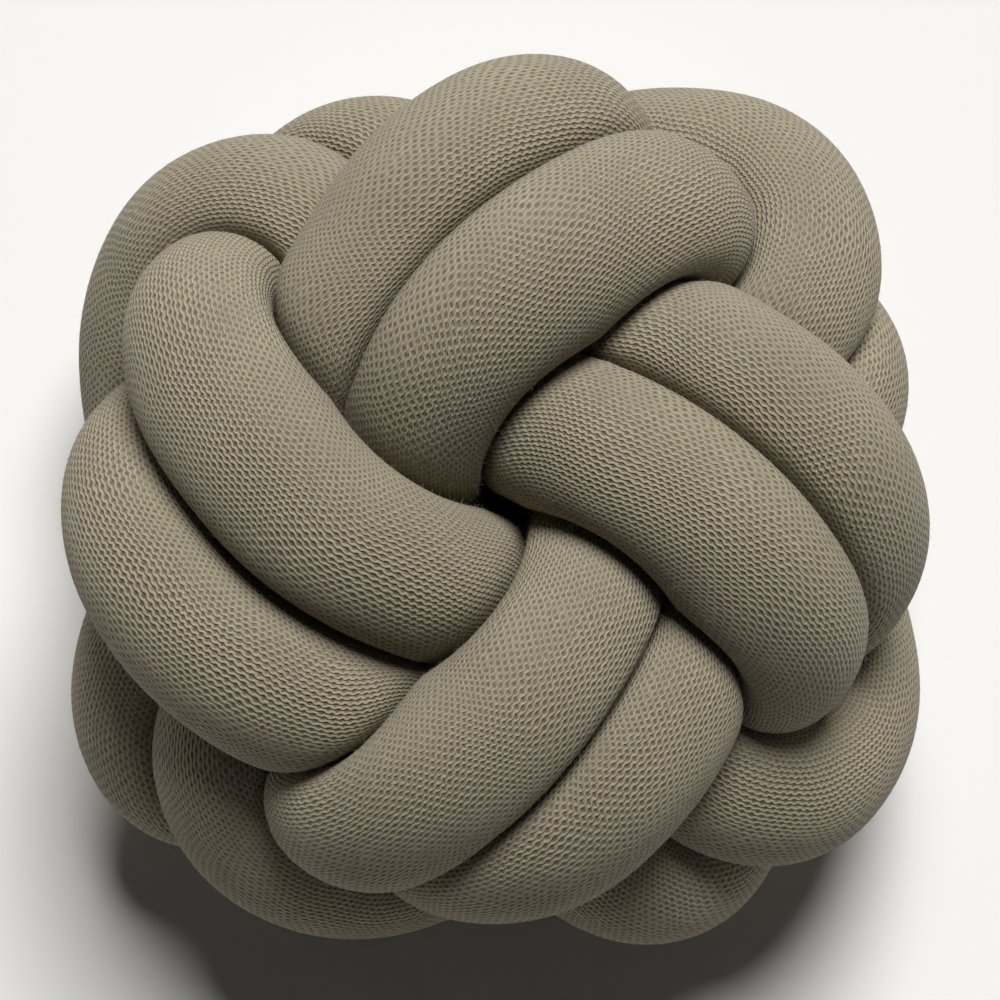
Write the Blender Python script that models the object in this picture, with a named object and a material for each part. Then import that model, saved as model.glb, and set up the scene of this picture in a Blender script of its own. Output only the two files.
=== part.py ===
"""A knot cushion: one endless stuffed knitted tube, tied as a round knot and lying on its back.

The tube goes round the knot twice, so two runs of it lie side by side everywhere. Seen from the front, four
pairs of runs turn clockwise about a small hollow. Each pair goes under the pair before it, passes the hollow,
crosses over the pair after it and dives past the rim to the back, where the same happens the other way up.
The model is in metres and stands on z = 0, with +Z out of the front of the knot.
"""
import bmesh
import bpy
import numpy as np

MM = 0.001

TUBE_RADIUS = 0.028          # of the stuffed tube where nothing presses on it
MOST_SWELL = 1.10            # how much wider than that it may stand where a neighbour flattens it
RUN_GAP = 0.0024             # air between runs that press on each other
EDGE_POWER = 10              # how crisply a free side turns into a pressed one: higher is crisper
THINNEST = 0.004             # least half thickness of a pressed tube
NEAREST_LOOK = 0.008         # points of the centre line nearer than this are the ring's own place
FARTHEST_LOOK = 0.120        # and points farther than this cannot press on it
FLOOR_SINK = 0.0045          # how far the tube would sink below z = 0 if the surface did not flatten it

SIDES = 16                   # corners of each ring of the tube
RINGS = 368                  # rings along the whole tube, both laps
LINE_POINTS = 2304           # points on each lap's centre line
LINE_STEP = 3                # of those, every third is asked whether it presses on a ring

ARMS = 4                     # pairs of runs seen from the front
FIRST_ARM_TURN = -50.0       # degrees from +X to the first arm's nearest point to the hollow

# One arm's share of each lap, in the order of travel, at even steps of the way round.
# turn is in degrees anticlockwise from the arm's nearest point to the hollow.
# out and up are in millimetres from the middle of the knot.
#    place                          inner run: turn, out, up   outer run: turn, out, up
ARM_ROUTE = (
    ("back, beside its hollow",     (136, 102, -44),           (126, 41, -60)),
    ("back, over the next pair",    (118, 125, -37),           (100, 86, -62)),
    ("round the rim",               (103, 136, -18),           (87, 121, -47)),
    ("top of the rim",              (90, 121, 4),              (74, 125, -21)),
    ("under the arm before",        (80, 81, 14),              (61, 98, 2)),
    ("coming up beside the hollow", (58, 43, 24),              (37, 73, 23)),
    ("nearest the hollow",          (2, 38, 51),               (3, 79, 44)),
    ("crown of the arm",            (-37, 63, 65),             (-22, 100, 49)),
    ("over the arm after",          (-58, 95, 55),             (-41, 116, 31)),
    ("diving past the rim",         (-70, 108, 24),            (-53, 105, 0)),
    ("under the rim",               (-85, 92, -12),            (-63, 62, -21)),
    ("back, under the next pair",   (-110, 86, -34),           (-98, 26, -43)),
)
NEAREST_ROW = 6              # the row at which turn is counted from

# How far this knot's arms lie from their even places: x, y and z in millimetres.
#    arm       place                    inner run      outer run
ARM_SHIFTS = (
    ("bottom", "round the rim",         (4, 5, -1),    (-6, -3, -1)),
    ("bottom", "under the arm before",  (8, 2, -2),    (1, 0, -2)),
    ("bottom", "nearest the hollow",    (4, -3, -4),   (1, 1, -4)),
    ("bottom", "over the arm after",    (4, -1, -6),   (4, 6, -5)),
    ("bottom", "under the rim",         (3, 3, 0),     (0, 0, 0)),
    ("right",  "round the rim",         (3, 1, 2),     (5, -3, 2)),
    ("right",  "under the arm before",  (-1, 4, 3),    (2, 0, 3)),
    ("right",  "nearest the hollow",    (-2, -3, 1),   (0, -4, 1)),
    ("right",  "over the arm after",    (-3, 3, -2),   (-4, -6, -1)),
    ("right",  "under the rim",         (-4, 7, 0),    (0, 0, 0)),
    ("top",    "round the rim",         (6, 3, 2),     (-4, -12, 2)),
    ("top",    "under the arm before",  (5, 5, 2),     (1, -3, 2)),
    ("top",    "nearest the hollow",    (0, 3, 3),     (4, -1, 3)),
    ("top",    "over the arm after",    (3, -3, 4),    (9, 3, 3)),
    ("left",   "round the rim",         (1, 1, -4),    (0, -5, -4)),
    ("left",   "under the arm before",  (2, 7, -3),    (0, -1, -4)),
    ("left",   "nearest the hollow",    (2, 1, 1),     (-1, -6, 1)),
    ("left",   "over the arm after",    (2, 5, 4),     (1, -6, 3)),
    ("left",   "under the rim",         (3, 8, 0),     (0, 0, 0)),
)
ARM_ORDER = ("bottom", "right", "top", "left")

# Where the two runs change sides, which makes one endless tube of the two laps. It is hidden at the back,
# under the next pair.
SWAP_TURN = 33.75            # degrees of the way round, from the first arm's nearest point
SWAP_HALF_LENGTH = 12.0      # degrees of the way round, each side of it
SWAP_DIP = 0.014             # how far the pair sinks into the knot there

TAUPE_LINEAR = (0.235, 0.208, 0.150, 1.0)
KNIT_ROUGHNESS = 0.95


def remove_everything():
    for item in list(bpy.data.objects):
        bpy.data.objects.remove(item, do_unlink=True)


def smooth_loop(points, count):
    """The smoothest closed line through evenly timed points, read at count places."""
    waves = np.fft.rfft(points, axis=0)
    fine = np.zeros((count // 2 + 1,) + points.shape[1:], complex)
    fine[:len(waves)] = waves
    return np.fft.irfft(fine, n=count, axis=0) * (count / len(points))


def even_lap(run, count):
    """One lap of the even knot, with all arms alike. run is 1 for the inner one and 2 for the outer."""
    points = []
    for arm in range(ARMS):
        for row in ARM_ROUTE:
            turn, out, up = row[run]
            angle = np.radians(turn + arm * 360.0 / ARMS + FIRST_ARM_TURN)
            points.append((out * MM * np.cos(angle), out * MM * np.sin(angle), up * MM))
    return smooth_loop(np.roll(np.array(points), -NEAREST_ROW, axis=0), count)


def arm_shift(run, count):
    """What to add to an even lap so that each arm lies as it does in this knot."""
    places = [row[0] for row in ARM_ROUTE]
    step = 2                                         # the shifts are given at every second place
    per_arm = len(ARM_ROUTE) // step
    shifts = np.zeros((ARMS * per_arm, 3))
    for row in ARM_SHIFTS:
        place = (places.index(row[1]) - NEAREST_ROW) // step
        shifts[ARM_ORDER.index(row[0]) * per_arm + place] = np.array(row[1 + run]) * MM
    return smooth_loop(shifts, count)


def unit(vectors):
    return vectors / np.linalg.norm(vectors, axis=-1, keepdims=True)


def along(line):
    """The direction of travel at each point of a closed line."""
    return unit(np.roll(line, -1, axis=0) - np.roll(line, 1, axis=0))


def tube_line():
    """The whole tube's centre line: both laps, joined where the pair of runs makes its half twist."""
    inner = even_lap(1, LINE_POINTS) + arm_shift(1, LINE_POINTS)
    outer = even_lap(2, LINE_POINTS) + arm_shift(2, LINE_POINTS)
    middle = (inner + outer) / 2
    half = (inner - outer) / 2
    travel = along(middle)
    lengthwise = travel * np.sum(half * travel, axis=1, keepdims=True)
    sideways = half - lengthwise
    upright = np.cross(travel, sideways)

    way = np.arange(LINE_POINTS) * 360.0 / LINE_POINTS
    from_swap = (way - SWAP_TURN + 180.0) % 360.0 - 180.0
    part = np.clip(from_swap / (2 * SWAP_HALF_LENGTH) + 0.5, 0.0, 1.0)
    eased = part ** 3 * (10 - 15 * part + 6 * part ** 2)
    twist = (np.pi * eased)[:, None]
    half = (sideways + lengthwise) * np.cos(twist) + upright * np.sin(twist)
    middle = middle - unit(middle) * SWAP_DIP * np.sin(twist)

    far_side = round((SWAP_TURN + 180.0) / 360.0 * LINE_POINTS)
    first_lap = np.roll(middle + half, -far_side, axis=0)
    second_lap = np.roll(middle - half, -far_side, axis=0)
    return np.concatenate((first_lap, second_lap))


def even_spacing(line, count):
    """count points at equal distances along a closed line."""
    closed = np.vstack((line, line[:1]))
    steps = np.linalg.norm(np.diff(closed, axis=0), axis=1)
    distance = np.concatenate(([0.0], np.cumsum(steps)))
    wanted = np.arange(count) * distance[-1] / count
    return np.stack([np.interp(wanted, distance, closed[:, axis]) for axis in range(3)], axis=1)


def ring_directions(line, sides):
    """For each point, the directions from the centre line to the ring's corners, without twist."""
    travel = along(line)
    side = np.zeros_like(line)
    start = np.array((0.0, 0.0, 1.0))
    for i, forward in enumerate(travel):
        start = unit(start - forward * np.dot(start, forward))
        side[i] = start
    other = np.cross(travel, side)
    back_home = unit(start - travel[0] * np.dot(start, travel[0]))
    slip = np.arctan2(np.dot(back_home, other[0]), np.dot(back_home, side[0]))
    turn = np.arange(sides) * 2 * np.pi / sides - slip * np.arange(len(line))[:, None] / len(line)
    return side[:, None] * np.cos(turn)[..., None] + other[:, None] * np.sin(turn)[..., None]


def room(centre, directions, line):
    """How far each corner can go before it is nearer to another point of the tube's centre line."""
    away = line - centre
    square = np.sum(away ** 2, axis=1)
    near = (square > NEAREST_LOOK ** 2) & (square < FARTHEST_LOOK ** 2)
    towards = directions @ away[near].T
    half_way = square[near] / (2 * np.maximum(towards, 1e-9))
    return half_way.min(axis=1)


def pressed(free_radius, limits):
    """A corner's distance from the centre: the free radius, eased off to the limit where something presses."""
    return (free_radius ** -EDGE_POWER + limits ** -EDGE_POWER) ** (-1.0 / EDGE_POWER)


def filled_radius(limits):
    """The free radius that gives a pressed ring the area of a round one, as far as the knit can stretch."""
    low = np.full((len(limits), 1), TUBE_RADIUS)
    high = low * MOST_SWELL
    wanted = np.pi * TUBE_RADIUS ** 2
    slice_area = 0.5 * np.sin(2 * np.pi / limits.shape[1])
    for _ in range(12):
        radius = (low + high) / 2
        corners = pressed(radius, limits)
        area = slice_area * np.sum(corners * np.roll(corners, -1, axis=1), axis=1, keepdims=True)
        low = np.where(area < wanted, radius, low)
        high = np.where(area < wanted, high, radius)
    spread = 5
    return sum(np.roll(radius, shift, axis=0) for shift in range(-spread, spread + 1)) / (2 * spread + 1)


def tube_rings():
    """All corners of the tube, ring by ring, standing on z = 0 with the middle of its box on the Z axis."""
    line = tube_line()
    centres = even_spacing(line, RINGS)
    directions = ring_directions(centres, SIDES)
    coarse = line[::LINE_STEP]
    limits = np.array([room(centre, ring, coarse) for centre, ring in zip(centres, directions)])
    limits = np.maximum(limits - RUN_GAP / 2, THINNEST)
    reach = pressed(filled_radius(limits), limits)
    rings = centres[:, None] + directions * reach[..., None]
    low = rings.min(axis=(0, 1))
    high = rings.max(axis=(0, 1))
    rings -= ((low[0] + high[0]) / 2, (low[1] + high[1]) / 2, low[2] + FLOOR_SINK)
    rings[..., 2] = np.maximum(rings[..., 2], 0.0)
    return rings


def knit_material():
    material = bpy.data.materials.new("taupe_knit")
    material.use_nodes = True
    shader = material.node_tree.nodes["Principled BSDF"]
    shader.inputs["Base Color"].default_value = TAUPE_LINEAR
    shader.inputs["Roughness"].default_value = KNIT_ROUGHNESS
    shader.inputs["Metallic"].default_value = 0.0
    return material


def make_tube(collection):
    """The tube's skin: neighbouring rings joined by faces, and the last ring joined to the first."""
    rings = tube_rings()
    mesh_in_work = bmesh.new()
    corners = [[mesh_in_work.verts.new(corner) for corner in ring] for ring in rings.tolist()]
    for i, ring in enumerate(corners):
        following = corners[(i + 1) % len(corners)]
        for j in range(SIDES):
            k = (j + 1) % SIDES
            mesh_in_work.faces.new((ring[j], ring[k], following[k], following[j]))
    bmesh.ops.recalc_face_normals(mesh_in_work, faces=mesh_in_work.faces)
    mesh = bpy.data.meshes.new("knotted_tube")
    mesh_in_work.to_mesh(mesh)
    mesh_in_work.free()
    mesh.shade_smooth()
    mesh.materials.append(knit_material())
    tube = bpy.data.objects.new("knotted_tube", mesh)
    collection.objects.link(tube)


def main():
    remove_everything()
    collection = bpy.data.collections.new("knot_cushion")
    bpy.context.scene.collection.children.link(collection)
    make_tube(collection)


main()
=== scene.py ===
"""The looks of a knot cushion: a stuffed, knitted wool tube tied as a round knot, lying on its back.

The tube's skin is made again here, much finer than the solid that the frame holds, on the same centre line and with
the same rule for where its runs press on each other. It then gets its knit, and a thin nap of loose fibres.
Everything is in metres, in the frame's own axes: +Z out of the front of the knot.
"""
import math

import bpy
import numpy as np
from bpy.props import FloatProperty, FloatVectorProperty, IntProperty, PointerProperty
from mathutils import Matrix, Vector


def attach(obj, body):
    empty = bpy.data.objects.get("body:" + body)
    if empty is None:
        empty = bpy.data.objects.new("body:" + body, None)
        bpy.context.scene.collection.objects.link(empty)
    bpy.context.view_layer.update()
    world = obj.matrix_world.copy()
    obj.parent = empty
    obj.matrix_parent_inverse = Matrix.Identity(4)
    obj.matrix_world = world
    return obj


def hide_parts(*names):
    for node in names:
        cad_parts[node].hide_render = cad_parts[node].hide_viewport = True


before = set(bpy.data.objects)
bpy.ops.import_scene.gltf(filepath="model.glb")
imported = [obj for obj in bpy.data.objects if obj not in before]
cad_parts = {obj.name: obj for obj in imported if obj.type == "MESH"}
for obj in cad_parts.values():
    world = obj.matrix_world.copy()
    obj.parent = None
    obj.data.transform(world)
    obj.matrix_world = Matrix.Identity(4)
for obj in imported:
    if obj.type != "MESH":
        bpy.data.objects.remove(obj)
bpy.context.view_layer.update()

bl_info = {
    "name": "Knot cushion",
    "version": (1, 0, 0),
    "blender": (4, 5, 0),
    "location": "3D View > Sidebar > Knot cushion",
    "description": "Builds a knot cushion of stuffed knitted tube, its loose fibres and a plain studio",
    "category": "Object",
}

MM = 0.001
SOLID_NODE = "knotted_tube"
TUBE_NAME = "knitted_tube"
FIBRES_NAME = "loose_fibres"

# ---------------------------------------------------------------------------------------------------------------------
# The knot's centre line, as the solid has it
# ---------------------------------------------------------------------------------------------------------------------

ARMS = 4                     # pairs of runs seen from the front
FIRST_ARM_TURN = -50.0       # degrees from +X to the first arm's nearest point to the hollow
LINE_POINTS = 2304           # points on each lap's centre line
LINE_STEP = 3                # of those, every third is asked whether it presses on a ring

# One arm's share of each lap, in the order of travel, at even steps of the way round.
# turn is in degrees anticlockwise from the arm's nearest point to the hollow.
# out and up are in millimetres from the middle of the knot.
#    place                          inner run: turn, out, up   outer run: turn, out, up
ARM_ROUTE = (
    ("back, beside its hollow",     (136, 102, -44),           (126, 41, -60)),
    ("back, over the next pair",    (118, 125, -37),           (100, 86, -62)),
    ("round the rim",               (103, 136, -18),           (87, 121, -47)),
    ("top of the rim",              (90, 121, 4),              (74, 125, -21)),
    ("under the arm before",        (80, 81, 14),              (61, 98, 2)),
    ("coming up beside the hollow", (58, 43, 24),              (37, 73, 23)),
    ("nearest the hollow",          (2, 38, 51),               (3, 79, 44)),
    ("crown of the arm",            (-37, 63, 65),             (-22, 100, 49)),
    ("over the arm after",          (-58, 95, 55),             (-41, 116, 31)),
    ("diving past the rim",         (-70, 108, 24),            (-53, 105, 0)),
    ("under the rim",               (-85, 92, -12),            (-63, 62, -21)),
    ("back, under the next pair",   (-110, 86, -34),           (-98, 26, -43)),
)
NEAREST_ROW = 6              # the row at which turn is counted from

# How far this knot's arms lie from their even places: x, y and z in millimetres.
#    arm       place                    inner run      outer run
ARM_SHIFTS = (
    ("bottom", "round the rim",         (4, 5, -1),    (-6, -3, -1)),
    ("bottom", "under the arm before",  (8, 2, -2),    (1, 0, -2)),
    ("bottom", "nearest the hollow",    (4, -3, -4),   (1, 1, -4)),
    ("bottom", "over the arm after",    (4, -1, -6),   (4, 6, -5)),
    ("bottom", "under the rim",         (3, 3, 0),     (0, 0, 0)),
    ("right",  "round the rim",         (3, 1, 2),     (5, -3, 2)),
    ("right",  "under the arm before",  (-1, 4, 3),    (2, 0, 3)),
    ("right",  "nearest the hollow",    (-2, -3, 1),   (0, -4, 1)),
    ("right",  "over the arm after",    (-3, 3, -2),   (-4, -6, -1)),
    ("right",  "under the rim",         (-4, 7, 0),    (0, 0, 0)),
    ("top",    "round the rim",         (6, 3, 2),     (-4, -12, 2)),
    ("top",    "under the arm before",  (5, 5, 2),     (1, -3, 2)),
    ("top",    "nearest the hollow",    (0, 3, 3),     (4, -1, 3)),
    ("top",    "over the arm after",    (3, -3, 4),    (9, 3, 3)),
    ("left",   "round the rim",         (1, 1, -4),    (0, -5, -4)),
    ("left",   "under the arm before",  (2, 7, -3),    (0, -1, -4)),
    ("left",   "nearest the hollow",    (2, 1, 1),     (-1, -6, 1)),
    ("left",   "over the arm after",    (2, 5, 4),     (1, -6, 3)),
    ("left",   "under the rim",         (3, 8, 0),     (0, 0, 0)),
)
ARM_ORDER = ("bottom", "right", "top", "left")

# Where the two runs change sides, which makes one endless tube of the two laps. It is hidden at the back.
SWAP_TURN = 33.75            # degrees of the way round, from the first arm's nearest point
SWAP_HALF_LENGTH = 12.0      # degrees of the way round, each side of it
SWAP_DIP = 0.014             # how far the pair sinks into the knot there

EDGE_POWER = 10              # how crisply a free side turns into a pressed one: higher is crisper
THINNEST = 0.004             # least half thickness of a pressed tube
NEAREST_LOOK = 0.008         # points of the centre line nearer than this are the ring's own place
FARTHEST_LOOK = 0.120        # and points farther than this cannot press on it
FLOOR_SINK = 0.0045          # how far the tube would sink below z = 0 if the surface did not flatten it


def smooth_loop(points, count):
    """The smoothest closed line through evenly timed points, read at count places."""
    waves = np.fft.rfft(points, axis=0)
    fine = np.zeros((count // 2 + 1,) + points.shape[1:], complex)
    fine[:len(waves)] = waves
    return np.fft.irfft(fine, n=count, axis=0) * (count / len(points))


def even_lap(run, count):
    """One lap of the even knot, with all arms alike. run is 1 for the inner one and 2 for the outer."""
    points = []
    for arm in range(ARMS):
        for row in ARM_ROUTE:
            turn, out, up = row[run]
            angle = np.radians(turn + arm * 360.0 / ARMS + FIRST_ARM_TURN)
            points.append((out * MM * np.cos(angle), out * MM * np.sin(angle), up * MM))
    return smooth_loop(np.roll(np.array(points), -NEAREST_ROW, axis=0), count)


def arm_shift(run, count):
    """What to add to an even lap so that each arm lies as it does in this knot."""
    places = [row[0] for row in ARM_ROUTE]
    step = 2                                         # the shifts are given at every second place
    per_arm = len(ARM_ROUTE) // step
    shifts = np.zeros((ARMS * per_arm, 3))
    for row in ARM_SHIFTS:
        place = (places.index(row[1]) - NEAREST_ROW) // step
        shifts[ARM_ORDER.index(row[0]) * per_arm + place] = np.array(row[1 + run]) * MM
    return smooth_loop(shifts, count)


def unit(vectors):
    return vectors / np.linalg.norm(vectors, axis=-1, keepdims=True)


def along(line):
    """The direction of travel at each point of a closed line."""
    return unit(np.roll(line, -1, axis=0) - np.roll(line, 1, axis=0))


def tube_line():
    """The whole tube's centre line: both laps, joined where the pair of runs makes its half twist."""
    inner = even_lap(1, LINE_POINTS) + arm_shift(1, LINE_POINTS)
    outer = even_lap(2, LINE_POINTS) + arm_shift(2, LINE_POINTS)
    middle = (inner + outer) / 2
    half = (inner - outer) / 2
    travel = along(middle)
    lengthwise = travel * np.sum(half * travel, axis=1, keepdims=True)
    sideways = half - lengthwise
    upright = np.cross(travel, sideways)

    way = np.arange(LINE_POINTS) * 360.0 / LINE_POINTS
    from_swap = (way - SWAP_TURN + 180.0) % 360.0 - 180.0
    part = np.clip(from_swap / (2 * SWAP_HALF_LENGTH) + 0.5, 0.0, 1.0)
    eased = part ** 3 * (10 - 15 * part + 6 * part ** 2)
    twist = (np.pi * eased)[:, None]
    half = (sideways + lengthwise) * np.cos(twist) + upright * np.sin(twist)
    middle = middle - unit(middle) * SWAP_DIP * np.sin(twist)

    far_side = round((SWAP_TURN + 180.0) / 360.0 * LINE_POINTS)
    first_lap = np.roll(middle + half, -far_side, axis=0)
    second_lap = np.roll(middle - half, -far_side, axis=0)
    return np.concatenate((first_lap, second_lap))


def even_spacing(line, count):
    """count points at equal distances along a closed line, and the line's length."""
    closed = np.vstack((line, line[:1]))
    steps = np.linalg.norm(np.diff(closed, axis=0), axis=1)
    distance = np.concatenate(([0.0], np.cumsum(steps)))
    wanted = np.arange(count) * distance[-1] / count
    return np.stack([np.interp(wanted, distance, closed[:, axis]) for axis in range(3)], axis=1), distance[-1]


# ---------------------------------------------------------------------------------------------------------------------
# The tube's skin
# ---------------------------------------------------------------------------------------------------------------------

TINY = 1e-9                  # stands in for zero and less in a division
AREA_HALVINGS = 12           # steps of the search for the radius that gives a pressed ring its area
SWELL_SPREAD = 0.06          # length of tube over which the filling evens out its swelling
LUMP_SEED = 5
LUMP_WAVES = (90.0, 3.5)     # above these counts the filling's lumps fade out: along the whole tube, and around it
STRAY_SEEDS = (21, 22)       # for stitches that stray around the tube, and along it
STRAY_WAVES = (160.0, 4.0)   # above these counts their straying fades out: along the whole tube, and around it


def ring_directions(line, sides):
    """For each point, the directions from the centre line to the ring's corners, without twist."""
    travel = along(line)
    side = np.zeros_like(line)
    start = np.array((0.0, 0.0, 1.0))
    for i, forward in enumerate(travel):
        start = unit(start - forward * np.dot(start, forward))
        side[i] = start
    other = np.cross(travel, side)
    back_home = unit(start - travel[0] * np.dot(start, travel[0]))
    slip = np.arctan2(np.dot(back_home, other[0]), np.dot(back_home, side[0]))
    turn = np.arange(sides) * 2 * np.pi / sides - slip * np.arange(len(line))[:, None] / len(line)
    return side[:, None] * np.cos(turn)[..., None] + other[:, None] * np.sin(turn)[..., None]


def room(centre, directions, line):
    """How far each corner can go before it is nearer to another point of the tube's centre line."""
    away = line - centre
    square = np.sum(away ** 2, axis=1)
    near = (square > NEAREST_LOOK ** 2) & (square < FARTHEST_LOOK ** 2)
    towards = directions @ away[near].T
    half_way = square[near] / (2 * np.maximum(towards, TINY))
    return half_way.min(axis=1)


def pressed(free_radius, limits):
    """A corner's distance from the centre: the free radius, eased off to the limit where something presses."""
    return (free_radius ** -EDGE_POWER + limits ** -EDGE_POWER) ** (-1.0 / EDGE_POWER)


def filled_radius(limits, tube_radius, most_swell, spread):
    """The free radius that gives a pressed ring the area of a round one, as far as the knit can stretch."""
    low = np.full((len(limits), 1), tube_radius)
    high = low * most_swell
    wanted = np.pi * tube_radius ** 2
    slice_area = 0.5 * np.sin(2 * np.pi / limits.shape[1])
    for _ in range(AREA_HALVINGS):
        radius = (low + high) / 2
        corners = pressed(radius, limits)
        area = slice_area * np.sum(corners * np.roll(corners, -1, axis=1), axis=1, keepdims=True)
        low = np.where(area < wanted, radius, low)
        high = np.where(area < wanted, high, radius)
    return sum(np.roll(radius, shift, axis=0) for shift in range(-spread, spread + 1)) / (2 * spread + 1)


def soft_waves(shape, seed, fade_out, height):
    """An uneven field on the tube's skin that closes on itself both ways, 0 on average and height in its spread."""
    rng = np.random.default_rng(seed)
    waves_along = np.fft.fftfreq(shape[0]) * shape[0]
    waves_around = np.fft.fftfreq(shape[1]) * shape[1]
    fade = np.exp(-(waves_along[:, None] / fade_out[0]) ** 2 - (waves_around[None] / fade_out[1]) ** 2)
    fade[0, 0] = 0.0
    field = np.fft.ifft2(np.fft.fft2(rng.standard_normal(shape)) * fade).real
    return field * height / field.std()


def tube_rings(sizes):
    """All corners of the tube, ring by ring, the free room beyond each, the tube's length and the knot's middle."""
    line = tube_line()
    centres, length = even_spacing(line, sizes.rings)
    directions = ring_directions(centres, sizes.sides)
    coarse = line[::LINE_STEP]
    limits = np.array([room(centre, ring, coarse) for centre, ring in zip(centres, directions)])
    limits = np.maximum(limits - sizes.run_gap / 2, THINNEST)
    spread = round(SWELL_SPREAD / (length / sizes.rings) / 2)
    radius = filled_radius(limits, sizes.tube_radius, sizes.most_swell, spread)
    lumps = soft_waves(limits.shape, LUMP_SEED, LUMP_WAVES, sizes.lump_height)
    reach = pressed(radius + lumps, limits)
    rings = centres[:, None] + directions * reach[..., None]
    low = rings.min(axis=(0, 1))
    high = rings.max(axis=(0, 1))
    rings -= ((low[0] + high[0]) / 2, (low[1] + high[1]) / 2, low[2] + FLOOR_SINK)
    knot_middle = (-(low[0] + high[0]) / 2, -(low[1] + high[1]) / 2, -low[2] - FLOOR_SINK)
    rings[..., 2] = np.maximum(rings[..., 2], 0.0)
    return rings, limits - reach, length, knot_middle


# How far the knit's lines turn away from the tube's own direction, in degrees anticlockwise from outside, where each
# front run passes nearest the hollow and where it then dives past the rim. The rows follow the tube.
#    arm, run          nearest, dive
LINE_SLANT = (
    ("left, inner",    (-2, -3)),
    ("bottom, inner",  (6, -7)),
    ("right, outer",   (-9, -2)),
    ("top, outer",     (-12, -8)),
    ("left, outer",    (1, 7)),
    ("bottom, outer",  (4, -3)),
    ("right, inner",   (10, 8)),
    ("top, inner",     (14, 5)),
)
RUN_TURN = 90.0              # degrees of the way round from one row to the next
FIRST_ROW_TURN = 56.25       # degrees of the way round from the tube's first ring to the first row


def line_twist(ring_count, length, line_spacing):
    """How far the knit's lines have turned about the tube at each ring, counted in lines. It ends as it began."""
    slants = np.radians([slant for row in LINE_SLANT for slant in row[1]])
    slants -= slants.mean()
    smooth = smooth_loop(slants[:, None], ring_count)[:, 0]
    whole_way = RUN_TURN * len(LINE_SLANT)
    smooth = np.roll(smooth, round(FIRST_ROW_TURN / whole_way * ring_count))
    turned = np.cumsum(np.tan(smooth)) * (length / ring_count) / line_spacing
    return turned - np.arange(1, ring_count + 1) / ring_count * turned[-1]


def knit_map(rings, length, knit):
    """Where each corner lies in the knit, counted in stitches along and lines around, and how stretched it is there.

    The first ring comes again at the end, and each ring's first corner too, for the far side of the seams.
    """
    count, sides = rings.shape[:2]
    stitches = round(length / knit.stitch_length)
    pieces = np.linalg.norm(np.roll(rings, -1, axis=1) - rings, axis=2)
    perimeter = pieces.sum(axis=1)
    lines = 2 * round(perimeter.mean() / knit.line_spacing / 2)      # even, as every second line is alike
    share = np.concatenate((np.zeros((count, 1)), np.cumsum(pieces, axis=1)), axis=1) / perimeter[:, None]
    share -= (share[:, :-1] - np.arange(sides) / sides).mean(axis=1, keepdims=True)

    across = lines * share + line_twist(count, length, knit.line_spacing)[:, None]
    stray = soft_waves((count, sides), STRAY_SEEDS[0], STRAY_WAVES, knit.line_stray)
    across += np.concatenate((stray, stray[:, :1]), axis=1)
    forth = stitches * np.arange(count)[:, None] / count + np.zeros((1, sides + 1))
    stray = soft_waves((count, sides), STRAY_SEEDS[1], STRAY_WAVES, knit.line_stray)
    forth += np.concatenate((stray, stray[:, :1]), axis=1)
    across = np.concatenate((across, across[:1]))
    forth = np.concatenate((forth, forth[:1] + stitches))

    steps = np.linalg.norm(np.roll(rings, -1, axis=0) - np.roll(rings, 1, axis=0), axis=2) / 2
    stretch = steps / (length / count) * (perimeter / perimeter.mean())[:, None]
    return np.stack((forth, across), axis=2), stretch


def tube_mesh(name, rings, knit_places, point_values):
    """The skin between the rings, closed on itself, with its place in the knit as a UV map."""
    count, sides = rings.shape[:2]
    ring = np.arange(count)[:, None]
    side = np.arange(sides)[None]
    next_ring = (ring + 1) % count
    next_side = (side + 1) % sides
    corners = ((ring, side), (ring, next_side), (next_ring, next_side), (next_ring, side))
    faces = np.stack([r * sides + s for r, s in corners], axis=2).reshape(-1, 4)
    mesh = bpy.data.meshes.new(name)
    mesh.from_pydata(rings.reshape(-1, 3).tolist(), [], faces.tolist())
    unrolled = ((ring, side), (ring, side + 1), (ring + 1, side + 1), (ring + 1, side))
    places = np.stack([knit_places[r, s] for r, s in unrolled], axis=2)
    uv_map = mesh.uv_layers.new(name="knit")
    uv_map.data.foreach_set("uv", places.astype(np.float32).ravel())
    for value_name, values in point_values.items():
        attribute = mesh.attributes.new(value_name, "FLOAT", "POINT")
        attribute.data.foreach_set("value", values.astype(np.float32).ravel())
    mesh.validate()
    mesh.shade_smooth()
    return mesh


def link_piece(name, mesh, material):
    """A finished piece, at the origin and unturned, riding on the cushion's one body."""
    mesh.materials.append(material)
    piece = bpy.data.objects.new(name, mesh)
    bpy.context.scene.collection.objects.link(piece)
    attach(piece, "root")
    return piece


# ---------------------------------------------------------------------------------------------------------------------
# The loose fibres
# ---------------------------------------------------------------------------------------------------------------------

NAP_SEED = 11
NAP_ROOM = 0.0012            # a fibre needs this much air above the skin
NAP_FADE = 0.003             # fibres are rubbed up most where runs meet, and get fewer away from there
NAP_LEAST = 0.12             # how likely a fibre is on the open skin, where the most likely place is about 1
NAP_SCATTER = 0.0014         # how far to each side of a corner of the skin a fibre may stand
NAP_SUNK = 0.0004            # how far its root lies under the skin
NAP_SHORTEST = 0.4           # the shortest fibre, in usual lengths
NAP_LONGER = (2.0, 0.35)     # what comes on top, in usual lengths: shape and scale of a gamma distribution
NAP_RISE = (0.2, 0.9)        # how far its tip stands up at least and at most, in its own lengths
NAP_LEAN = 0.8               # how far its tip leans over, in its own lengths
NAP_ASIDE = 0.6              # and how far it goes aside of that at most


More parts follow.
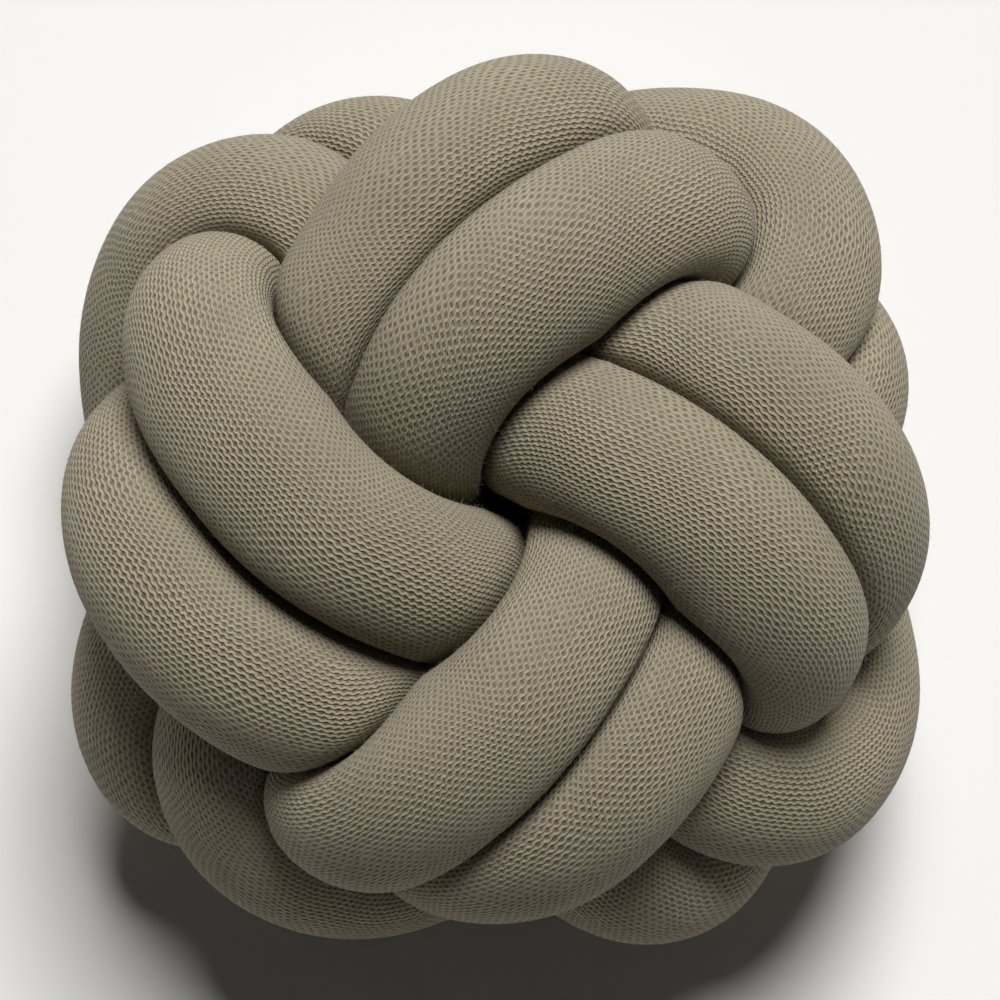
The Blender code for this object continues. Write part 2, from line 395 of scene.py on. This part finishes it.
def nap_mesh(name, skin, nap):
    """Many short fibres, each a closed three-sided sliver that tapers to a point. Takes free_room off the skin."""
    rng = np.random.default_rng(NAP_SEED)
    count = len(skin.vertices)
    places = np.zeros(count * 3, np.float32)
    normals = np.zeros(count * 3, np.float32)
    free_room = np.zeros(count, np.float32)
    skin.vertices.foreach_get("co", places)
    skin.vertex_normals.foreach_get("vector", normals)
    skin.attributes["free_room"].data.foreach_get("value", free_room)
    skin.attributes.remove(skin.attributes["free_room"])
    places = places.reshape(-1, 3).astype(float)
    normals = normals.reshape(-1, 3).astype(float)
    open_air = np.flatnonzero((free_room > NAP_ROOM) & (places[:, 2] > 2 * nap.fibre_length))
    likely = NAP_LEAST + np.exp(-free_room[open_air] / NAP_FADE)
    chosen = rng.choice(open_air, nap.fibres, p=likely / likely.sum())

    up = normals[chosen]
    lean = unit(np.cross(up, rng.standard_normal(up.shape)))
    side = np.cross(up, lean)
    reach = nap.fibre_length * (NAP_SHORTEST + rng.gamma(*NAP_LONGER, (nap.fibres, 1)))
    root = places[chosen] + NAP_SCATTER * (lean * rng.uniform(-1, 1, reach.shape)
                                           + side * rng.uniform(-1, 1, reach.shape))
    root -= up * NAP_SUNK
    tip = root + reach * (up * rng.uniform(*NAP_RISE, reach.shape) + lean * NAP_LEAN
                          + side * rng.uniform(-NAP_ASIDE, NAP_ASIDE, reach.shape))
    for end in (root, tip):                          # none reaches through the surface that the cushion lies on
        end[:, 2] = np.maximum(end[:, 2], nap.fibre_radius)
    rows = []
    across = unit(np.cross(tip - root, side))
    for k in range(3):
        angle = 2 * math.pi * k / 3
        rows.append(root + (side * math.cos(angle) + across * math.sin(angle)) * nap.fibre_radius)
    rows.append(tip)
    points = np.stack(rows, axis=1).reshape(-1, 3)
    pattern = np.array(((2, 1, 0), (0, 1, 3), (1, 2, 3), (2, 0, 3)))
    faces = pattern[None] + np.arange(nap.fibres)[:, None, None] * len(rows)
    mesh = bpy.data.meshes.new(name)
    mesh.from_pydata(points.tolist(), [], faces.reshape(-1, 3).tolist())
    mesh.shade_smooth()
    return mesh


# ---------------------------------------------------------------------------------------------------------------------
# Materials
# ---------------------------------------------------------------------------------------------------------------------

def linear(hex_colour):
    """An sRGB hex colour as linear red, green and blue."""
    parts = [int(hex_colour[i:i + 2], 16) / 255 for i in (1, 3, 5)]
    return tuple(c / 12.92 if c <= 0.04045 else ((c + 0.055) / 1.055) ** 2.4 for c in parts)


def add_node(tree, kind, settings=None, links=None):
    """Adds a node. links gives each input a value, or another node's socket, or a node for its first output."""
    node = tree.nodes.new(kind)
    for name, value in (settings or {}).items():
        setattr(node, name, value)
    for name, source in (links or {}).items():
        if isinstance(source, bpy.types.Node):
            source = source.outputs[0]
        if isinstance(source, bpy.types.NodeSocket):
            tree.links.new(source, node.inputs[name])
        else:
            node.inputs[name].default_value = source
    return node


def new_material(name):
    material = bpy.data.materials.new(name)
    material.use_nodes = True
    return material, material.node_tree, material.node_tree.nodes["Principled BSDF"]


# The stitches. Heights are shares of STITCH_DEPTH, and the swing is a share of the spacing of the lines.
WAVE_SWING = 0.19            # how far a line swings to each side
STITCH_DEPTH = 0.00066       # metres from the top of a line to the bottom of an open gap
ROUNDED_TOP = 0.85           # the value of ridge above which a line's top is level
GAP_SHUT, GAP_OPEN = 0.4, -0.9   # the gap_side at which a gap is wholly shut, and wholly open
SHUT_GAP_SHADE = 0.40        # how dark the painted shade in a shut gap is, where an open one's is 1
FURROW_DEPTH = 0.75          # how deep the relief of every gap is
HOLE_DEPTH = 0.2             # and how much deeper it is where the gap is open
HAIR_RELIEF = 0.28           # height of the yarn's hairs
STRETCH_SEEN = (0.6, 1.4)    # stretch of the knit at which its holes open least and most
LEAST_OPEN = 0.45            # how open the least open hole is, where the most open is 1
UNEVEN_RANGE = (0.55, 0.45)  # range of a stitch's place, in stitches along and in lines across
UNEVEN_SCALE = 0.45          # patches of that to a stitch

# The colour, with shade painted low in the knit and light painted on the tops of the lines. Each noise lies between 0
# and 1, mostly near 0.5.
YARN_LEVELS = (0.32, 0.62, 0.86)   # heights of the painted shade in the gaps, of the painted shade on the low yarn, and of the yarn's colour
FELTED_HEIGHT = 0.65         # the one height that a felted place tends to
FELTED_NOISE = (0.35, 0.6)   # noise at which it is felted most, and not at all
FELTED_LEAST = 0.7           # how much of the stitches still shows where it is felted most
DYE_NOISE = (0.32, 0.68)     # noise at which the fibres are coolest, and warmest
CLOUD_NOISE = (0.3, 0.7)     # noise at which the dye is darkest, and palest
CLOUD_TINT = (0.95, 1.04)    # and the tint there

# How large the patches of unevenness are, in metres
FELTED_SIZE = 0.007          # of the felted places
CLOUD_SIZE = 0.035           # of the slow change in the dye
MELANGE_SIZE = 0.0022        # of the mix of cool and warm fibres
HAIR_SIZE = 0.0008           # of the hairs' relief
FIBRE_PATCH_SIZE = 0.006     # of loose fibres painted paler, for light that passes through them, among darker ones
TOOTH_SIZE = 0.004           # of the paper's grain


def wool_knit_material(knit):
    """Fine single jersey of a wool mix, stretched open over its filling.

    Knitting leaves the yarn in wavy lines along the tube. Neighbours swing against each other, so that the filling
    pulls the gaps open into small staggered holes, in which only shade shows. The yarn is spun of cooler and warmer
    fibres. Its hairs scatter light, so it is matt, with a faint pale sheen at grazing angles, and here and there
    they have felted over the stitches. The shade in the gaps and holes, and the light on the tops of the lines, are
    painted into the colour by height in the knit.
    """
    material, tree, shader = new_material("wool_mix_jersey")
    place = add_node(tree, "ShaderNodeUVMap", {"uv_map": "knit"})
    uneven = add_node(tree, "ShaderNodeTexNoise", {"noise_dimensions": "2D"},
                      {"Vector": place, "Scale": UNEVEN_SCALE, "Detail": 1.0})
    uneven_shift = add_node(tree, "ShaderNodeVectorMath", {"operation": "MULTIPLY_ADD"},
                            {0: uneven.outputs["Color"], 1: (UNEVEN_RANGE[0], UNEVEN_RANGE[1], 0.0),
                             2: (-UNEVEN_RANGE[0] / 2, -UNEVEN_RANGE[1] / 2, 0.0)})
    moved = add_node(tree, "ShaderNodeVectorMath", {"operation": "ADD"}, {0: place, 1: uneven_shift})
    parts = add_node(tree, "ShaderNodeSeparateXYZ", {}, {"Vector": moved})
    forth = parts.outputs["X"]
    across = parts.outputs["Y"]

    # The wave of each line: ridge is 1 along its top and -1 in the middle of a gap, and valley goes from 0 to 1.
    # gap_side is 1 where the two lines beside a gap swing together, and -1 where they swing apart and open it.
    forth_turn = add_node(tree, "ShaderNodeMath", {"operation": "MULTIPLY"}, {0: forth, 1: 2 * math.pi})
    even_wave = add_node(tree, "ShaderNodeMath", {"operation": "COSINE"}, {0: forth_turn})
    half_turn = add_node(tree, "ShaderNodeMath", {"operation": "MULTIPLY"}, {0: across, 1: math.pi})
    odd_line = add_node(tree, "ShaderNodeMath", {"operation": "COSINE"}, {0: half_turn})
    odd_gap = add_node(tree, "ShaderNodeMath", {"operation": "SINE"}, {0: half_turn})
    swing = add_node(tree, "ShaderNodeMath", {"operation": "MULTIPLY"}, {0: even_wave, 1: odd_line})
    lane = add_node(tree, "ShaderNodeMath", {"operation": "MULTIPLY_ADD"},
                    {0: swing, 1: -WAVE_SWING, 2: across})
    lane_turn = add_node(tree, "ShaderNodeMath", {"operation": "MULTIPLY"}, {0: lane, 1: 2 * math.pi})
    ridge = add_node(tree, "ShaderNodeMath", {"operation": "COSINE"}, {0: lane_turn})
    valley = add_node(tree, "ShaderNodeMapRange", {"interpolation_type": "SMOOTHSTEP"},
                      {"Value": ridge, "From Min": ROUNDED_TOP, "From Max": -1.0, "To Min": 0.0, "To Max": 1.0})
    gap_side = add_node(tree, "ShaderNodeMath", {"operation": "MULTIPLY"}, {0: even_wave, 1: odd_gap})
    stretch = add_node(tree, "ShaderNodeAttribute", {"attribute_name": "stretch"})
    opened = add_node(tree, "ShaderNodeMapRange", {},
                      {"Value": stretch.outputs["Fac"], "From Min": STRETCH_SEEN[0], "From Max": STRETCH_SEEN[1],
                       "To Min": LEAST_OPEN, "To Max": 1.0})
    gap_open = add_node(tree, "ShaderNodeMapRange", {"interpolation_type": "SMOOTHSTEP"},
                        {"Value": gap_side, "From Min": GAP_SHUT, "From Max": GAP_OPEN,
                         "To Min": 0.0, "To Max": 1.0})
    hole = add_node(tree, "ShaderNodeMath", {"operation": "MULTIPLY"}, {0: valley, 1: gap_open})
    deep_hole = add_node(tree, "ShaderNodeMath", {"operation": "MULTIPLY"}, {0: hole, 1: opened})
    shallow = add_node(tree, "ShaderNodeMath", {"operation": "MULTIPLY_ADD"},
                       {0: valley, 1: -SHUT_GAP_SHADE, 2: 1.0})
    # Two heights: one for the colour's painted shade and light, where the holes count most, and stood, for the relief.
    painted_shade_height = add_node(tree, "ShaderNodeMath", {"operation": "MULTIPLY_ADD"},
                     {0: deep_hole, 1: SHUT_GAP_SHADE - 1.0, 2: shallow})
    furrow = add_node(tree, "ShaderNodeMath", {"operation": "MULTIPLY_ADD"}, {0: valley, 1: -FURROW_DEPTH, 2: 1.0})
    stood = add_node(tree, "ShaderNodeMath", {"operation": "MULTIPLY_ADD"}, {0: deep_hole, 1: -HOLE_DEPTH, 2: furrow})

    # Here and there the nap has felted over the stitches, and softens their painted shade and light.
    body_place = add_node(tree, "ShaderNodeTexCoord")
    nap = add_node(tree, "ShaderNodeTexNoise", {},
                   {"Vector": body_place.outputs["Object"], "Scale": 1 / FELTED_SIZE, "Detail": 2.0})
    clear = add_node(tree, "ShaderNodeMapRange", {},
                     {"Value": nap.outputs["Fac"], "From Min": FELTED_NOISE[0], "From Max": FELTED_NOISE[1],
                      "To Min": FELTED_LEAST, "To Max": 1.0})
    height = add_node(tree, "ShaderNodeMix", {"data_type": "FLOAT"}, {0: clear, 2: FELTED_HEIGHT, 3: painted_shade_height})

    # Colour: shade painted low in the knit and light painted on the tops of the lines, by height in the knit, then the
    # mix of fibres and the yarn's uneven dyeing.
    ramp = add_node(tree, "ShaderNodeValToRGB", {}, {"Fac": height})
    stops = ramp.color_ramp.elements
    for level, colour in zip(YARN_LEVELS, (knit.painted_gap_shade, knit.shaded_yarn, knit.yarn)):
        stop = stops.new(level)
        stop.color = (*colour, 1.0)
    stops[0].color = (*knit.hole_colour, 1.0)
    stops[-1].color = (*knit.lit_yarn, 1.0)
    melange = add_node(tree, "ShaderNodeTexNoise", {},
                       {"Vector": body_place.outputs["Object"], "Scale": 1 / MELANGE_SIZE, "Detail": 3.0,
                        "Roughness": 0.6})
    dye = add_node(tree, "ShaderNodeValToRGB", {}, {"Fac": melange.outputs["Fac"]})
    for stop, level, colour in zip(dye.color_ramp.elements, DYE_NOISE, (knit.cool_dye, knit.warm_dye)):
        stop.position = level
        stop.color = (*colour, 1.0)
    cloudy = add_node(tree, "ShaderNodeTexNoise", {},
                      {"Vector": body_place.outputs["Object"], "Scale": 1 / CLOUD_SIZE, "Detail": 2.0})
    cloudy_tint = add_node(tree, "ShaderNodeMapRange", {},
                           {"Value": cloudy.outputs["Fac"], "From Min": CLOUD_NOISE[0], "From Max": CLOUD_NOISE[1],
                            "To Min": CLOUD_TINT[0], "To Max": CLOUD_TINT[1]})
    dyed = add_node(tree, "ShaderNodeVectorMath", {"operation": "MULTIPLY"},
                    {0: ramp.outputs["Color"], 1: dye.outputs["Color"]})
    coloured = add_node(tree, "ShaderNodeVectorMath", {"operation": "SCALE"}, {0: dyed, "Scale": cloudy_tint})
    tree.links.new(coloured.outputs[0], shader.inputs["Base Color"])

    # Relief: the stitches, and the hairs of the yarn on them.
    hairs = add_node(tree, "ShaderNodeTexNoise", {},
                     {"Vector": body_place.outputs["Object"], "Scale": 1 / HAIR_SIZE, "Detail": 2.0})
    relief = add_node(tree, "ShaderNodeMath", {"operation": "MULTIPLY_ADD"},
                      {0: hairs.outputs["Fac"], 1: HAIR_RELIEF, 2: stood})
    bump = add_node(tree, "ShaderNodeBump", {}, {"Strength": 1.0, "Distance": STITCH_DEPTH, "Height": relief})
    tree.links.new(bump.outputs["Normal"], shader.inputs["Normal"])
    shader.inputs["Roughness"].default_value = 0.95
    shader.inputs["Specular IOR Level"].default_value = 0.2
    shader.inputs["Sheen Weight"].default_value = 0.10
    shader.inputs["Sheen Roughness"].default_value = 0.4
    return material


def loose_fibre_material(knit):
    """Wool fibres that stand off the yarn: its own colour, painted paler in patches for light that passes through
    them.
    """
    material, tree, shader = new_material("loose_wool_fibre")
    place = add_node(tree, "ShaderNodeTexCoord")
    noise = add_node(tree, "ShaderNodeTexNoise", {},
                     {"Vector": place.outputs["Object"], "Scale": 1 / FIBRE_PATCH_SIZE, "Detail": 2.0})
    # Painted light: the paler fibres take the colour of the lit tops of the yarn.
    colour = add_node(tree, "ShaderNodeMix", {"data_type": "RGBA"},
                      {"Factor": noise.outputs["Fac"], 6: (*knit.yarn, 1.0), 7: (*knit.lit_yarn, 1.0)})
    tree.links.new(colour.outputs[2], shader.inputs["Base Color"])
    shader.inputs["Roughness"].default_value = 0.9
    shader.inputs["Specular IOR Level"].default_value = 0.2
    return material


def paper_material(name, colour):
    """Matt paper: pressed flat and unglazed, so it is pale and even with a barely rough grain and no shine."""
    material, tree, shader = new_material(name)
    place = add_node(tree, "ShaderNodeTexCoord")
    tooth = add_node(tree, "ShaderNodeTexNoise", {},
                     {"Vector": place.outputs["Object"], "Scale": 1 / TOOTH_SIZE, "Detail": 2.0})
    bump = add_node(tree, "ShaderNodeBump", {}, {"Strength": 0.05, "Distance": 0.0002, "Height": tooth})
    tree.links.new(bump.outputs["Normal"], shader.inputs["Normal"])
    shader.inputs["Base Color"].default_value = (*colour, 1.0)
    shader.inputs["Roughness"].default_value = 0.95
    shader.inputs["Specular IOR Level"].default_value = 0.1
    return material


# ---------------------------------------------------------------------------------------------------------------------
# The studio
# ---------------------------------------------------------------------------------------------------------------------

FLOOR_DROP = 0.0002                      # keeps the floor's face clear of the flat rest
BACKDROP_TOP = (0.0, 0.10)               # the backdrop fades between these heights, as the sine of the angle up
PICTURE_SIDE = 1000.0                    # pixels
KNOT_MIDDLE_IN_PICTURE = (497.0, 511.0)  # pixels from the left and from the top
SENSOR_WIDTH = 36.0                      # millimetres, as the lens is counted in them


def add_floor(studio):
    """A plain sheet under the cushion, which is not part of it."""
    bpy.ops.object.select_all(action="DESELECT")
    bpy.ops.mesh.primitive_plane_add(size=studio.floor_size, location=(0.0, 0.0, -FLOOR_DROP))
    floor = bpy.context.object
    floor.name = "floor"
    floor.data.materials.append(paper_material("matt_paper", studio.floor_colour))


def add_light(studio):
    """One broad sun, a dim surround, and a pale backdrop that shows only behind the floor's edge."""
    world = bpy.data.worlds.new("surround")
    world.use_nodes = True
    tree = world.node_tree
    direction = add_node(tree, "ShaderNodeTexCoord")
    parts = add_node(tree, "ShaderNodeSeparateXYZ", {}, {"Vector": direction.outputs["Generated"]})
    backdrop = add_node(tree, "ShaderNodeMapRange", {"interpolation_type": "SMOOTHSTEP"},
                        {"Value": parts.outputs["Z"], "From Min": BACKDROP_TOP[0], "From Max": BACKDROP_TOP[1],
                         "To Min": studio.backdrop, "To Max": studio.surround})
    background = tree.nodes["Background"]
    background.inputs["Color"].default_value = (1.0, 1.0, 1.0, 1.0)
    tree.links.new(backdrop.outputs[0], background.inputs["Strength"])
    bpy.context.scene.world = world
    key = bpy.data.lights.new("main_light", "SUN")
    key.energy = studio.key_strength
    key.angle = studio.key_breadth
    level = math.cos(studio.key_height)
    towards_light = Vector((level * math.cos(studio.key_side), level * math.sin(studio.key_side),
                            math.sin(studio.key_height)))
    holder = bpy.data.objects.new("main_light", key)
    holder.rotation_euler = towards_light.to_track_quat("Z", "Y").to_euler()
    bpy.context.scene.collection.objects.link(holder)
    bpy.context.scene.view_settings.view_transform = "Standard"


def add_camera(studio, knot_middle):
    """Almost straight on to the knot's face, from a little beyond its lower edge."""
    side = studio.camera_side
    hinge = Vector((-math.sin(side), math.cos(side), 0.0))
    turn = Matrix.Rotation(studio.camera_tilt, 4, hinge)
    per_pixel = studio.view_width / PICTURE_SIDE
    aim_off = Vector(((PICTURE_SIDE / 2 - KNOT_MIDDLE_IN_PICTURE[0]) * per_pixel,
                      (KNOT_MIDDLE_IN_PICTURE[1] - PICTURE_SIDE / 2) * per_pixel, 0.0))
    camera = bpy.data.cameras.new("camera")
    camera.sensor_width = SENSOR_WIDTH
    camera.lens = camera.sensor_width * studio.camera_distance / studio.view_width
    holder = bpy.data.objects.new("camera", camera)
    bpy.context.scene.collection.objects.link(holder)
    holder.matrix_world = (Matrix.Translation(knot_middle) @ turn
                           @ Matrix.Translation(aim_off + Vector((0.0, 0.0, studio.camera_distance))))
    bpy.context.scene.camera = holder


# ---------------------------------------------------------------------------------------------------------------------
# Settings a user would change
# ---------------------------------------------------------------------------------------------------------------------

class KnotCushionTube(bpy.types.PropertyGroup):
    tube_radius: FloatProperty(
        name="Tube radius", description="Of the stuffed tube where nothing presses on it",
        default=0.028, min=0.02, max=0.032, unit="LENGTH")
    most_swell: FloatProperty(
        name="Most swell", description="How much wider the tube may stand where a neighbour flattens it",
        default=1.10, min=1.0, max=1.2, subtype="FACTOR")
    run_gap: FloatProperty(
        name="Gap between runs", description="Air between runs that press on each other",
        default=0.0010, min=0.0002, max=0.003, unit="LENGTH")
    lump_height: FloatProperty(
        name="Lump height", description="How uneven the filling leaves the tube",
        default=0.0004, min=0.0, max=0.002, unit="LENGTH")
    rings: IntProperty(
        name="Rings", description="Rings along the whole tube", default=1480, min=300, max=1500)
    sides: IntProperty(
        name="Sides", description="Corners of each ring", default=64, min=16, max=64)


class KnotCushionKnit(bpy.types.PropertyGroup):
    line_spacing: FloatProperty(
        name="Line spacing", description="From one line of yarn to the next, around the tube",
        default=0.00166, min=0.0005, max=0.01, unit="LENGTH")
    stitch_length: FloatProperty(
        name="Stitch length", description="Length of one wave of a line, along the tube",
        default=0.00226, min=0.0005, max=0.02, unit="LENGTH")
    line_stray: FloatProperty(
        name="Stray", description="How far the stitches stray from their even places, in stitches",
        default=0.45, min=0.0, max=2.0)
    # Painted light: the tops of the lines are painted paler for the light that falls on them.
    lit_yarn: FloatVectorProperty(
        name="Yarn, top", description="Colour of the top of each line of yarn",
        default=linear("#A69D88"), min=0.0, max=1.0, subtype="COLOR")
    yarn: FloatVectorProperty(
        name="Yarn", description="Colour of the yarn's sides",
        default=linear("#9E9580"), min=0.0, max=1.0, subtype="COLOR")
    # Painted shade: the yarn low in the knit is painted darker for the shade that falls there.
    shaded_yarn: FloatVectorProperty(
        name="Yarn, low", description="Colour of the yarn low in the knit",
        default=linear("#988F7A"), min=0.0, max=1.0, subtype="COLOR")
    # Painted shade: the bottoms of the gaps are painted darker for the shade there.
    painted_gap_shade: FloatVectorProperty(
        name="Gap", description="Colour low in the gaps", default=linear("#887E68"),
        min=0.0, max=1.0, subtype="COLOR")
    hole_colour: FloatVectorProperty(
        name="Hole", description="Colour of the shade seen through a wide open stitch",
        default=linear("#6C614B"), min=0.0, max=1.0, subtype="COLOR")
    cool_dye: FloatVectorProperty(
        name="Cool fibres", description="Tint where the mixed wool is greyer", default=(0.93, 0.95, 0.98),
        min=0.0, max=2.0, subtype="COLOR")
    warm_dye: FloatVectorProperty(
        name="Warm fibres", description="Tint where the mixed wool is sandier", default=(1.06, 1.04, 1.0),
        min=0.0, max=2.0, subtype="COLOR")


class KnotCushionNap(bpy.types.PropertyGroup):
    fibres: IntProperty(
        name="Fibres", description="Loose fibres over the whole cushion", default=48000, min=0, max=49000)
    fibre_length: FloatProperty(
        name="Fibre length", description="Usual length of a loose fibre",
        default=0.0020, min=0.0005, max=0.008, unit="LENGTH")
    fibre_radius: FloatProperty(
        name="Fibre radius", description="Half the thickness of a loose fibre, coarser than wool so that it shows",
        default=0.00005, min=0.00001, max=0.0002, unit="LENGTH")


class KnotCushionStudio(bpy.types.PropertyGroup):
    camera_distance: FloatProperty(
        name="Camera distance", description="From the middle of the knot",
        default=1.5, min=0.5, max=5.0, unit="LENGTH")
    view_width: FloatProperty(
        name="View width", description="What the picture shows at the middle of the knot",
        default=0.3396, min=0.1, max=2.0, unit="LENGTH")
    camera_tilt: FloatProperty(
        name="Camera tilt", description="From straight on to the knot's face",
        default=math.radians(3.0), min=0.0, max=1.5, unit="ROTATION")
    camera_side: FloatProperty(
        name="Camera side", description="The way the camera leans over, from +X towards +Y",
        default=math.radians(258.0), min=0.0, max=6.3, unit="ROTATION")
    floor_size: FloatProperty(
        name="Floor size", description="Width of the floor", default=6.0, min=1.0, max=20.0, unit="LENGTH")
    floor_colour: FloatVectorProperty(
        name="Floor", description="Colour of the floor", default=linear("#F1F0EE"),
        min=0.0, max=1.0, subtype="COLOR")
    surround: FloatProperty(
        name="Surround", description="Light from all round", default=0.03, min=0.0, max=5.0)
    backdrop: FloatProperty(
        name="Backdrop", description="Brightness of the pale backdrop behind the floor's edge",
        default=0.75, min=0.0, max=5.0)
    key_strength: FloatProperty(
        name="Main light", description="Strength of the large soft light", default=4.1, min=0.0, max=50.0)
    key_breadth: FloatProperty(
        name="Main light's breadth", description="How wide the soft light stands, seen from the cushion",
        default=math.radians(30.0), min=0.0, max=3.0, unit="ROTATION")
    key_height: FloatProperty(
        name="Main light's height", description="Angle above the floor",
        default=math.radians(50.0), min=0.0, max=1.57, unit="ROTATION")
    key_side: FloatProperty(
        name="Main light's side", description="The way it stands, from +X towards +Y",
        default=math.radians(80.0), min=0.0, max=6.3, unit="ROTATION")


SETTINGS = {
    "knot_cushion_tube": KnotCushionTube,
    "knot_cushion_knit": KnotCushionKnit,
    "knot_cushion_nap": KnotCushionNap,
    "knot_cushion_studio": KnotCushionStudio,
}


# ---------------------------------------------------------------------------------------------------------------------
# Operators
# ---------------------------------------------------------------------------------------------------------------------

class KNOTCUSHION_OT_add_tube(bpy.types.Operator):
    """Add the stuffed knitted tube, tied as a knot, in the place of its plain solid"""
    bl_idname = "knot_cushion.add_tube"
    bl_label = "Knitted tube"

    def execute(self, context):
        sizes = context.scene.knot_cushion_tube
        knit = context.scene.knot_cushion_knit
        rings, free_room, length, knot_middle = tube_rings(sizes)
        knit_places, stretch = knit_map(rings, length, knit)
        mesh = tube_mesh(TUBE_NAME, rings, knit_places, {"stretch": stretch, "free_room": free_room})
        tube = link_piece(TUBE_NAME, mesh, wool_knit_material(knit))
        tube["knot_middle"] = list(knot_middle)
        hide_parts(SOLID_NODE)
        return {"FINISHED"}


class KNOTCUSHION_OT_add_nap(bpy.types.Operator):
    """Add the loose wool fibres that stand off the knit"""
    bl_idname = "knot_cushion.add_nap"
    bl_label = "Loose fibres"

    def execute(self, context):
        nap = context.scene.knot_cushion_nap
        mesh = nap_mesh(FIBRES_NAME, bpy.data.objects[TUBE_NAME].data, nap)
        link_piece(FIBRES_NAME, mesh, loose_fibre_material(context.scene.knot_cushion_knit))
        return {"FINISHED"}


class KNOTCUSHION_OT_add_studio(bpy.types.Operator):
    """Add the pale floor, the soft light and the camera"""
    bl_idname = "knot_cushion.add_studio"
    bl_label = "Studio"

    def execute(self, context):
        studio = context.scene.knot_cushion_studio
        add_floor(studio)
        add_light(studio)
        add_camera(studio, Vector(bpy.data.objects[TUBE_NAME]["knot_middle"]))
        return {"FINISHED"}


class VIEW3D_PT_knot_cushion(bpy.types.Panel):
    bl_label = "Knot cushion"
    bl_idname = "VIEW3D_PT_knot_cushion"
    bl_space_type = "VIEW_3D"
    bl_region_type = "UI"
    bl_category = "Knot cushion"

    def draw(self, context):
        for settings_name, settings_class in SETTINGS.items():
            box = self.layout.box()
            for name in settings_class.__annotations__:
                box.prop(getattr(context.scene, settings_name), name)
        for operator in (KNOTCUSHION_OT_add_tube, KNOTCUSHION_OT_add_nap, KNOTCUSHION_OT_add_studio):
            self.layout.operator(operator.bl_idname)


CLASSES = (
    *SETTINGS.values(),
    KNOTCUSHION_OT_add_tube,
    KNOTCUSHION_OT_add_nap,
    KNOTCUSHION_OT_add_studio,
    VIEW3D_PT_knot_cushion,
)


def register():
    for each in CLASSES:
        bpy.utils.register_class(each)
    for settings_name, settings_class in SETTINGS.items():
        setattr(bpy.types.Scene, settings_name, PointerProperty(type=settings_class))


def unregister():
    for settings_name in SETTINGS:
        delattr(bpy.types.Scene, settings_name)
    for each in reversed(CLASSES):
        bpy.utils.unregister_class(each)


def main():
    register()
    bpy.ops.knot_cushion.add_tube()
    bpy.ops.knot_cushion.add_nap()
    bpy.ops.knot_cushion.add_studio()


if __name__ == "__main__":
    main()
